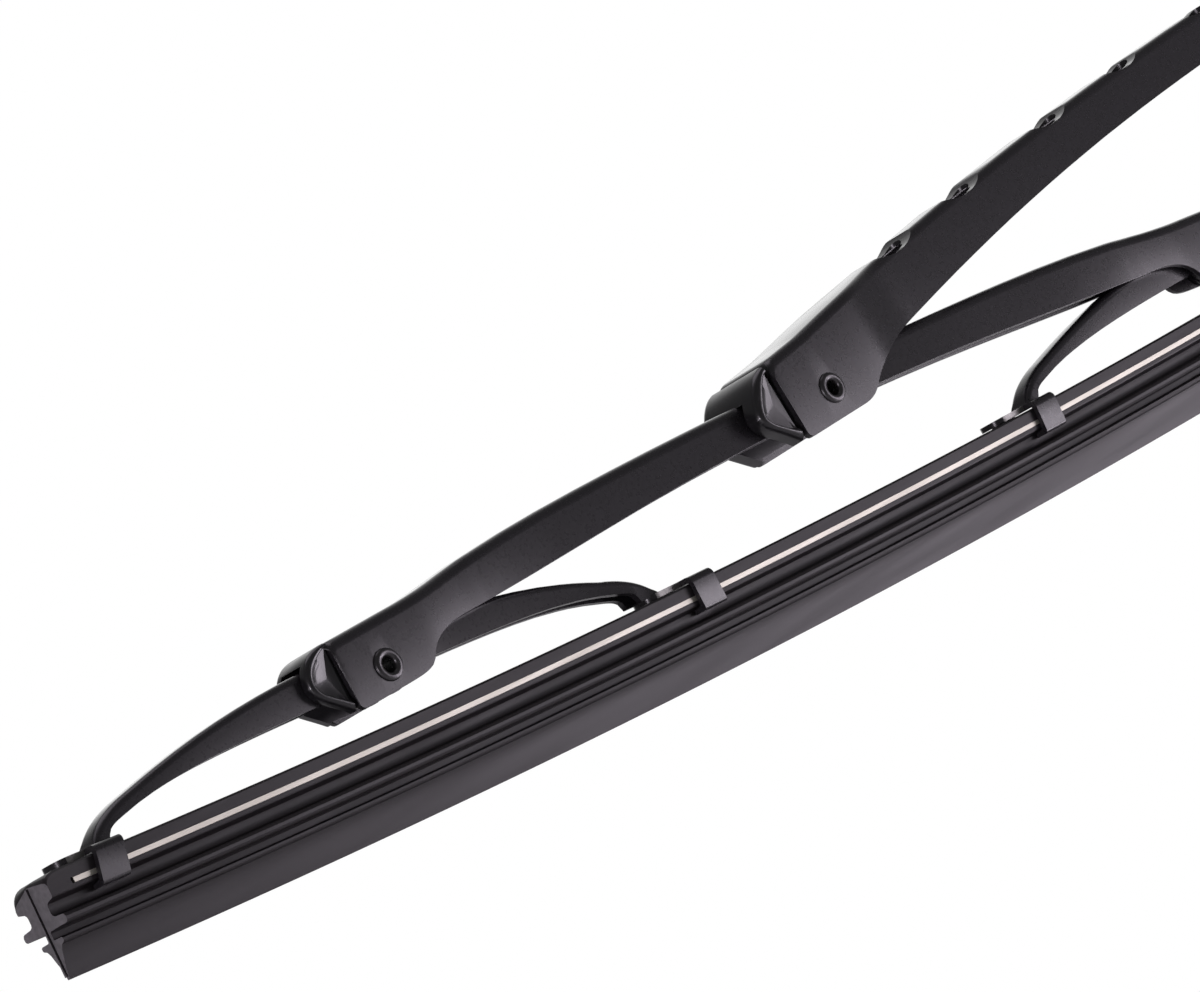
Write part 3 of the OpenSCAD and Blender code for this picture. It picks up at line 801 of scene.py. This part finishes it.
def nose_loops(shape, half_w):
    """Rings of the nose from mid blade width out to the floor of its sunk face."""
    outer, sunk = through(shape["outer"]), through(shape["sunk"])
    r, floor_y = shape["round"], half_w - SUNK_DEPTH
    edge = outer[0][0]
    low, high = sunk[0][1], sunk[-1][1]

    def ring(points, y):
        side = [(edge, min(y, floor_y), high + (low - high) * i / 6) for i in range(7)]
        return [(p[0], y, p[1]) for p in points] + side

    def mixed(t):
        return [a + (b - a) * t for a, b in zip(outer, sunk)]

    rings = [ring(outer, 0), ring(outer, half_w - r)]
    width = 0.62
    for i in range(1, 7):
        a = HALF_PI * i / 6
        rings.append(ring(mixed(width * (1 - math.cos(a))), half_w - r + r * math.sin(a)))
    for t, down in ((0.8, 0.1), (0.92, 0.3), (1.0, 0.55), (1.06, SUNK_DEPTH)):
        rings.append(ring(mixed(t), half_w - down))
    middle = Vector((edge + 0.35 * (max(p[0] for p in sunk) - edge), (low + high) / 2))
    inner = mixed(1.06)
    for k, dip in ((0.7, 0.5), (0.35, 0.85), (0.05, 1.0)):
        y = floor_y - shape["dish"] * dip
        points = [middle + (p - middle) * k for p in inner]
        side = [(middle[0] + (edge - middle[0]) * k, y, middle[1] + (z - middle[1]) * k)
                for z in (high + (low - high) * i / 6 for i in range(7))]
        rings.append([(p[0], y, p[1]) for p in points] + side)
    return rings


def bushing(node, body, shape, width, sheet, arm_w, roof, matrix):
    """Moulded bushing: cheeks within the walls, a roof over the arm and a nose on either side."""
    half_w, inner = width / 2, width / 2 - sheet - CHEEK_PLAY
    loops = nose_loops(shape, half_w)
    rings = [[(x, -y, z) for x, y, z in ring] for ring in reversed(loops)] + loops[1:]
    nose = new_object(node + "_moulded", loft(rings))
    bmesh_tidy(nose)
    reach, seat = shape["outer"][0][0] + 0.4, roof + 0.5
    plan = [Vector((reach, seat)), Vector((-CHEEK_R, seat))] + corner((0, 0), CHEEK_R, 180, 270, 10)
    plan.append(Vector((reach, -3.4)))
    body_part = new_object("cheeks", loft([[(p[0], y, p[1]) for p in plan] for y in (-inner, inner)]))
    mod = nose.modifiers.new("join", "BOOLEAN")
    mod.operation = "UNION"
    mod.solver = "EXACT"
    mod.object = body_part
    apply_modifiers(nose)
    bpy.data.objects.remove(body_part)
    half_slot = arm_w / 2 + BORE_PLAY
    cut(nose, [box_object((-20, -half_slot, -20), (30, half_slot, roof)), cylinder_y(RIVET_D + BORE_PLAY, 30)])
    place(nose, matrix)
    smooth(nose, 42)
    dress(nose, PLASTIC, "black_plastic", body, node)


def bmesh_tidy(obj):
    """Merges the doubled points of a loft and turns its faces outwards."""
    bm = bmesh.new()
    bm.from_mesh(obj.data)
    bmesh.ops.remove_doubles(bm, verts=bm.verts, dist=1e-4)
    bmesh.ops.dissolve_degenerate(bm, edges=bm.edges, dist=1e-4)
    bmesh.ops.recalc_face_normals(bm, faces=bm.faces)
    bm.to_mesh(obj.data)
    bm.free()


def rivet(node, body, width, matrix):
    """Hollow rivet with its flange rolled over each wall."""
    half = width / 2 + 0.01
    hole, shank, flange = RIVET_HOLE_D / 2, RIVET_D / 2, FLANGE_D / 2
    lip = [(hole, half - 0.3)]
    mid, roll = (hole + flange) / 2, (flange - hole) / 2
    for i in range(9):
        a = math.pi - math.pi * i / 8
        lip.append((mid + roll * math.cos(a), half + 0.02 + FLANGE_T * math.sin(a)))
    profile = lip + [(flange, half), (shank, half)]
    profile += [(r, -y) for r, y in reversed(profile)]
    obj = revolve_y(node + "_rolled", profile)
    obj.data.materials.append(ZINC)
    obj.data.materials.append(BORE)
    for poly in obj.data.polygons:
        c = poly.center
        if math.hypot(c[0], c[2]) < hole + 0.02 and abs(c[1]) < half - 0.3:
            poly.material_index = 1
    place(obj, matrix)
    smooth(obj, 50)
    dress(obj, ZINC, "zinc", body, node)


def arm_mount():
    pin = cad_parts["arm_pin"]
    pin.data.materials.clear()
    pin.data.materials.append(ZINC)
    add_bevel(pin, 0.15)
    dress(rounded("hook_adapter"), PLASTIC, "black_plastic", "adapter", "hook_adapter")


# Squeegee and strips

# Height and half width down the section; its first HEAD_TOP points are the head's back
SQUEEGEE_HALF = [
    (RUBBER_H, 0), (RUBBER_H, 3.1), (RUBBER_H, 3.7), (RUBBER_H - 0.3, 4.0), (HEAD_SIDE_H, 4.0), (9.78, 3.9),
    (9.5, 2.72), (9.3, 2.45), (9.0, 2.32), (8.1, 2.32), (7.8, 2.45), (7.6, 2.88), (7.47, 4.4),
    (7.35, 4.65), (7.0, 4.85), (6.6, 4.82), (6.4, 4.65), (6.3, 4.4), (6.25, 0.75), (6.0, 0.6),
    (5.25, 0.6), (5.08, 0.75), (5.05, 2.2), (4.9, 2.4), (4.6, 2.4), (4.4, 2.25), (4.2, 1.7),
    (3.6, 1.28), (2.8, 1.0), (1.4, 0.43), (0.08, 0.25), (0, 0.2)]
HEAD_TOP = 4
# The rubber's end: how far its back drops and over what length, how much more the far side drops,
# and the parting line down its face
END_DROP = 1.3
END_ROUND = 2.6
FAR_DROP = 0.7
SEAM_W = 0.3
SEAM_PROUD = 0.35
TIP_STEP = 0.25


def section_ring(s, points):
    """A section of height and Y points at arc place s, in metres."""
    return [(p[0] * MM, y * MM, p[1] * MM) for p, y in ((arc_pt(s, h), y) for h, y in points)]


def tip_section(depth):
    """The section at a depth from the rubber's end, where its back is moulded round."""
    t = min(1.0, depth / END_ROUND)
    drop = END_DROP * (1 - math.sqrt(t * (2 - t)))
    half = [(h - drop * (0.45 + 0.55 * (y / 4) ** 2), y) for h, y in SQUEEGEE_HALF[:HEAD_TOP]]
    far = [(h - FAR_DROP * drop * y / 4, y) for h, y in half]
    return (far + SQUEEGEE_HALF[HEAD_TOP:] + [(h, -y) for h, y in reversed(SQUEEGEE_HALF[HEAD_TOP:])]
            + [(h, -y) for h, y in reversed(half[1:])])


def seam_section():
    """The mould's parting line, a thin ridge down the end face."""
    top, half = RUBBER_H - 0.45 * END_DROP - 0.15, SEAM_W / 2
    return [(top, half), (0.4, half), (0.4, -half), (top, -half)]


def slot_section():
    """The squeegee's section with the two grooves that hold the strips."""
    lo, hi = STRIP_H - STRIP_T / 2 - STRIP_PLAY, STRIP_H + STRIP_T / 2 + STRIP_PLAY
    depth = HEAD_W / 2 - STRIP_W - 0.25
    out = []
    for h, y in SQUEEGEE_HALF:
        if h == HEAD_SIDE_H:
            out += [(hi, 4.0), (hi, depth), (lo, depth), (lo, 4.0)]
        out.append((h, y))
    return out + [(h, -y) for h, y in reversed(out[1:])]


def swept(name, s0, s1, section, step=4.0, caps=(True, True)):
    """Sweeps a section, or one that a function gives for the depth from s0, along the bow."""
    n = max(2, int(abs(s1 - s0) / step) + 1)
    places = [s0 + (s1 - s0) * i / n for i in range(n + 1)]
    shape = section if callable(section) else lambda depth: section
    rings = [section_ring(s, shape(abs(s - s0))) for s in places]
    bm = loft(rings, caps=False)
    bm.verts.ensure_lookup_table()
    count = len(rings[0])
    for at, wanted in zip((0, n), caps):
        if wanted:
            face = bm.faces.new([bm.verts[at * count + i] for i in range(count)])
            face.material_index = 1
    bmesh.ops.recalc_face_normals(bm, faces=bm.faces)
    return new_object(name, bm)


def strip_section(side):
    outer = HEAD_W / 2 - 0.03
    return [(STRIP_H + a * STRIP_T / 2, side * (outer - b * STRIP_W))
            for a, b in ((1, 0), (1, 1), (-1, 1), (-1, 0))]


# Arc places of the seams on the left half, with the two bodies at a span's ends
BLADE_END = BLADE_LEN / 2
STRIP_END = BLADE_END - STRIP_STOP - 0.45
OUTER_CLAW_IN = OUTER_S - CLAW_REACH
INNER_CLAW_OUT = INNER_S + CLAW_REACH
INNER_CLAW_IN = INNER_S - CLAW_REACH


def spans(side):
    """(label, start, end, body, other body) of each span, from the blade's end to its middle."""
    hand = "left" if side < 0 else "right"
    outer, inner, yoke_body = f"claw_yoke_outer_{hand}", f"claw_yoke_inner_{hand}", f"yoke_{hand}"
    mid = "squeegee" if side < 0 else "spring_strips"
    return [
        (f"{hand}_outer", BLADE_END, OUTER_CLAW_IN, outer, None),
        (f"{hand}_bend_out", OUTER_CLAW_IN, BRIDGE_END_S, outer, yoke_body),
        (f"{hand}_bend_in", BRIDGE_END_S, INNER_CLAW_OUT, yoke_body, inner),
        (f"{hand}_inner", INNER_CLAW_OUT, INNER_CLAW_IN, inner, None),
        (f"{hand}_middle", INNER_CLAW_IN, 0, inner, mid)]


def attach(obj, body, other):
    if other is None:
        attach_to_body(obj, body)
        return
    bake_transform(obj)


def squeegee():
    for side in (-1, 1):
        for label, s0, s1, body, other in spans(side):
            if s0 == BLADE_END:
                stop = BLADE_END - STRIP_STOP
                tip = swept(f"rubber_{label}_tip", side * s0, side * stop, tip_section, TIP_STEP, (True, False))
                seam = swept("seam", side * (s0 + SEAM_PROUD), side * (s0 - 0.5), seam_section(), 0.4)
                rest = swept("part", side * stop, side * s1, slot_section(), caps=(False, False))
                parts = [tip, seam, rest]
                obj = joined(f"rubber_{label}", parts)
            else:
                obj = swept(f"rubber_{label}", side * s0, side * s1, slot_section(), caps=(False, False))
            obj.data.materials.append(RUBBER)
            obj.data.materials.append(CUT_RUBBER)
            smooth(obj, 28)
            attach(obj, body, other)
    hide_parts("squeegee")


def strips():
    for face, node in ((-1, "spring_strip_near"), (1, "spring_strip_far")):
        for side in (-1, 1):
            for label, s0, s1, body, other in spans(side):
                first = min(s0, STRIP_END)
                name = f"strip_{'near' if face < 0 else 'far'}_{label}"
                obj = swept(
                    name, side * first, side * s1, strip_section(face), caps=(s0 == BLADE_END, False))
                obj.data.materials.append(SPRING)
                smooth(obj, 30)
                attach(obj, body, other)
        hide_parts(node)


# Studio

FRONT_FILL = 0.12
BACKDROP = (0.69, 0.72, 0)
LAMP_TINT = (1.0, 0.92, 1.03)
FLOOR_Z = -0.35
FLOOR_HALF = 4


def area_light(name, place_at, size, power, aim=(0, 0, 0), size_y=None):
    data = bpy.data.lights.new(name, "AREA")
    data.shape = "RECTANGLE"
    data.size = size
    data.size_y = size_y or size
    data.energy = power
    data.color = LAMP_TINT
    obj = bpy.data.objects.new(name, data)
    bpy.context.scene.collection.objects.link(obj)
    obj.location = place_at
    obj.rotation_euler = (Vector(aim) - Vector(place_at)).to_track_quat("-Z", "Y").to_euler()
    return obj


def white_world():
    """White backdrop behind the blade, for the camera and for gloss; dim studio in front of it."""
    world = bpy.data.worlds.new("studio")
    bpy.context.scene.world = world
    world.use_nodes = True
    tree = world.node_tree
    tree.nodes.clear()
    out = tree.nodes.new("ShaderNodeOutputWorld")
    light = tree.nodes.new("ShaderNodeBackground")
    white = tree.nodes.new("ShaderNodeBackground")
    light.inputs["Color"].default_value = (1, 1, 1, 1)
    white.inputs["Color"].default_value = (1, 1, 1, 1)
    coords = tree.nodes.new("ShaderNodeTexCoord")
    toward = tree.nodes.new("ShaderNodeVectorMath")
    toward.operation = "DOT_PRODUCT"
    toward.inputs[1].default_value = BACKDROP
    ramp = tree.nodes.new("ShaderNodeMapRange")
    ramp.inputs["From Min"].default_value = 0.62
    ramp.inputs["From Max"].default_value = 0.85
    ramp.inputs["To Min"].default_value = FRONT_FILL
    ramp.inputs["To Max"].default_value = 1.0
    tree.links.new(coords.outputs["Generated"], toward.inputs[0])
    tree.links.new(toward.outputs["Value"], ramp.inputs["Value"])
    tree.links.new(ramp.outputs["Result"], light.inputs["Strength"])
    mix = tree.nodes.new("ShaderNodeMixShader")
    path = tree.nodes.new("ShaderNodeLightPath")
    tree.links.new(path.outputs["Is Camera Ray"], mix.inputs["Fac"])
    tree.links.new(light.outputs["Background"], mix.inputs[1])
    tree.links.new(white.outputs["Background"], mix.inputs[2])
    tree.links.new(mix.outputs["Shader"], out.inputs["Surface"])


def floor():
    """A pale floor far enough under the blade to stay out of the photograph's view."""
    bm = bmesh.new()
    bmesh.ops.create_grid(bm, x_segments=1, y_segments=1, size=FLOOR_HALF)
    obj = new_object("floor", bm, Matrix.Translation((0, 0, FLOOR_Z)))
    mat = bpy.data.materials.new("floor")
    mat.use_nodes = True
    tree = mat.node_tree
    shader = tree.nodes["Principled BSDF"]
    shader.inputs["Base Color"].default_value = (0.86, 0.86, 0.86, 1)
    shader.inputs["Roughness"].default_value = 0.9
    glow = tree.nodes.new("ShaderNodeEmission")
    glow.inputs["Strength"].default_value = 1.0
    mix = tree.nodes.new("ShaderNodeMixShader")
    path = tree.nodes.new("ShaderNodeLightPath")
    tree.links.new(path.outputs["Is Camera Ray"], mix.inputs["Fac"])
    tree.links.new(shader.outputs["BSDF"], mix.inputs[1])
    tree.links.new(glow.outputs["Emission"], mix.inputs[2])
    tree.links.new(mix.outputs["Shader"], tree.nodes["Material Output"].inputs["Surface"])
    obj.data.materials.append(mat)


def camera():
    az, el, roll = (math.radians(a) for a in (CAM_AZIMUTH, CAM_ELEVATION, CAM_ROLL))
    out = Vector((math.sin(az) * math.cos(el), -math.cos(az) * math.cos(el), math.sin(el)))
    forward = -out
    flat_right = forward.cross(Vector((0, 0, 1))).normalized()
    flat_up = flat_right.cross(forward)
    right = math.cos(roll) * flat_right + math.sin(roll) * flat_up
    up = -math.sin(roll) * flat_right + math.cos(roll) * flat_up
    data = bpy.data.cameras.new("camera")
    obj = bpy.data.objects.new("camera", data)
    bpy.context.scene.collection.objects.link(obj)
    turn = Matrix((right, up, out)).transposed()
    where = (Vector(CAM_TARGET) + out * CAM_DISTANCE) * MM
    obj.matrix_world = Matrix.Translation(where) @ turn.to_4x4()
    data.sensor_width = 36
    data.lens = CAM_LENS
    data.clip_start = 0.01
    data.clip_end = 20
    bpy.context.scene.camera = obj


def lights():
    """Soft boxes: for the hub walls, low for the rubber's flank, for the near end, and from above."""
    area_light("wall_box", (0.28, -0.5, -0.13), 0.34, 1.4, (-0.1, 0, -0.02), 0.2)
    area_light("low_box", (0.2, -0.26, -0.3), 0.3, 1.15, (-0.1, 0, -0.02), 0.16)
    area_light("end_box", (-1.45, -0.3, 0.05), 0.2, 4, (-0.25, 0, -0.01))
    area_light("top_box", (0.1, 0.2, 1.4), 1.0, 4, (-0.1, 0, 0))


bridge()
for half in (-1, 1):
    yoke(half)
    claw_yoke(half, OUTER_S, "outer")
    claw_yoke(half, INNER_S, "inner")
for hand, half in (("left", -1), ("right", 1)):
    outward = Matrix.Diagonal((half, 1, 1, 1))
    bushing(f"bridge_bushing_{hand}", "root", BRIDGE_NOSE, BRIDGE_HUB_W, BRIDGE_SHEET, YOKE_W, YOKE_TOP + 0.6,
            plain_frame(half * BRIDGE_HUB_X, BRIDGE_END[1]) @ outward)
    rivet(f"bridge_rivet_{hand}", "root", BRIDGE_HUB_W, plain_frame(half * BRIDGE_HUB_X, BRIDGE_END[1]))
    for where, s in (("outer", OUTER_S), ("inner", INNER_S)):
        toward = outward if where == "outer" else Matrix.Diagonal((-half, 1, 1, 1))
        bushing(f"yoke_bushing_{where}_{hand}", f"yoke_{hand}", YOKE_NOSE, YOKE_HUB_W, YOKE_SHEET, CLAW_YOKE_W,
                CLAW_TOP + 0.35, pivot_frame(half * s, CLAW_PIVOT_H) @ toward)
        rivet(f"yoke_rivet_{where}_{hand}", f"yoke_{hand}", YOKE_HUB_W, pivot_frame(half * s, CLAW_PIVOT_H))
arm_mount()
squeegee()
strips()
white_world()
floor()
camera()
lights()

bpy.context.scene.view_settings.view_transform = "Standard"
bpy.context.view_layer.update()
